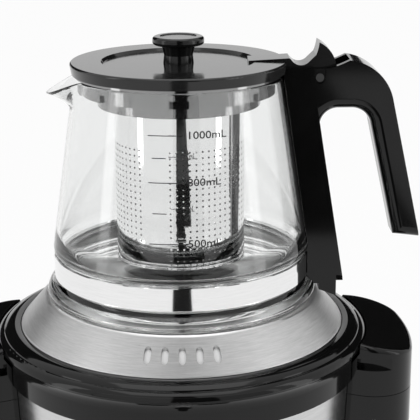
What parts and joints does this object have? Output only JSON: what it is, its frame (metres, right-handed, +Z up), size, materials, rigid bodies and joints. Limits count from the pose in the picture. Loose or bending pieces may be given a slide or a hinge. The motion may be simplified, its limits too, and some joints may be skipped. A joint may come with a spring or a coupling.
{
  "type": "tea maker",
  "caption": "Glass teapot with a hinged lid and steel infuser on a steam shelf, over a steel boiler with side handles, a tap and a control panel.",
  "frame": {"origin": "centre of the plane under the rubber feet, on the boiler's upright axis", "axes": "+Z up, the front with the tap and control panel towards -Y, +X towards the teapot handle"},
  "size_m": [0.2386, 0.2447, 0.3242],
  "materials": {
    "glass_clear": "clear, polished",
    "black_gloss": "gloss",
    "black_plastic": "satin",
    "lid_plastic": "satin",
    "steel_polished": "polished stainless steel",
    "steel_brushed": "brushed",
    "steel_bright": "plain",
    "chrome_tap": "polished",
    "steel_infuser": "brushed",
    "collar_plastic": "satin",
    "panel_plastic": "matte",
    "button_plastic": "satin",
    "lens_plastic": "clear tint",
    "board_plastic": "solder resist",
    "bush_plastic": "matte",
    "baffle_white": "satin",
    "rubber_black": "matte",
    "rubber_pale": "matte silicone"
  },
  "bodies": {
    "base": {"rubber_feet": "rubber_black", "base_plate": "steel_bright", "base_screws": "steel_bright", "base_housing": "black_plastic", "control_panel": "panel_plastic", "rotary_switch": "panel_plastic", "button_switches": "panel_plastic", "indicator_lenses": "lens_plastic", "control_board": "board_plastic", "board_screws": "steel_bright", "terminal_block": "panel_plastic", "cord_gland": "panel_plastic", "outer_body": "steel_polished", "inner_tank": "steel_brushed", "tank_gasket": "rubber_pale", "heater_plate": "steel_brushed", "heating_element": "steel_brushed", "thermostat": "steel_brushed", "top_collar": "black_gloss", "shelf_gasket": "rubber_pale", "right_handle_top": "black_plastic", "left_handle_top": "black_plastic", "right_handle_bottom": "black_plastic", "left_handle_bottom": "black_plastic", "right_handle_bolts": "steel_bright", "left_handle_bolts": "steel_bright", "tap_body": "chrome_tap", "tap_washers": "rubber_pale", "tap_nut": "steel_bright"},
    "selector": {"selector_knob": "black_gloss", "selector_shaft": "steel_brushed"},
    "start": {"start_button": "button_plastic"},
    "warm": {"warm_button": "button_plastic"},
    "tap": {"tap_plug": "chrome_tap", "tap_key": "black_gloss"},
    "shelf": {"steam_shelf": "steel_brushed", "vent_baffle": "baffle_white"},
    "teapot": {"glass_pot": "glass_clear", "pot_hoop": "steel_polished", "hoop_screw": "steel_bright", "pot_handle": "black_plastic", "hinge_bushes": "bush_plastic", "hinge_pin": "bush_plastic", "infuser_collar": "collar_plastic", "infuser_basket": "steel_infuser"},
    "lid_group": {"lid": "lid_plastic", "lid_knob": "black_gloss", "knob_screw": "steel_bright", "lid_seal": "rubber_pale"}
  },
  "joints": [
    {"name": "selector_turn", "type": "hinge", "parent": "base", "child": "selector", "pos_m": [0, -0.1, 0.031], "axis": [0, -1, 0], "range_deg": [-270, 0]},
    {"name": "start_press", "type": "slide", "parent": "base", "child": "start", "axis": [0, 1, 0], "range_m": [0, 0.0015], "stiffness_N_per_m": 400},
    {"name": "warm_press", "type": "slide", "parent": "base", "child": "warm", "axis": [0, 1, 0], "range_m": [0, 0.0015], "stiffness_N_per_m": 400},
    {"name": "tap_turn", "type": "hinge", "parent": "base", "child": "tap", "pos_m": [0, -0.116, 0.092], "axis": [0, 0, 1], "range_deg": [0, 90]},
    {"name": "shelf_lift", "type": "slide", "parent": "base", "child": "shelf", "axis": [0, 0, 1], "range_m": [0, 0.03]},
    {"name": "pot_lift", "type": "slide", "parent": "shelf", "child": "teapot", "axis": [0, 0, 1], "range_m": [0, 0.05]},
    {"name": "lid_hinge", "type": "hinge", "parent": "teapot", "child": "lid_group", "pos_m": [0.0685, 0, 0.3047], "axis": [0, 1, 0], "range_deg": [0, 76]}
  ]
}
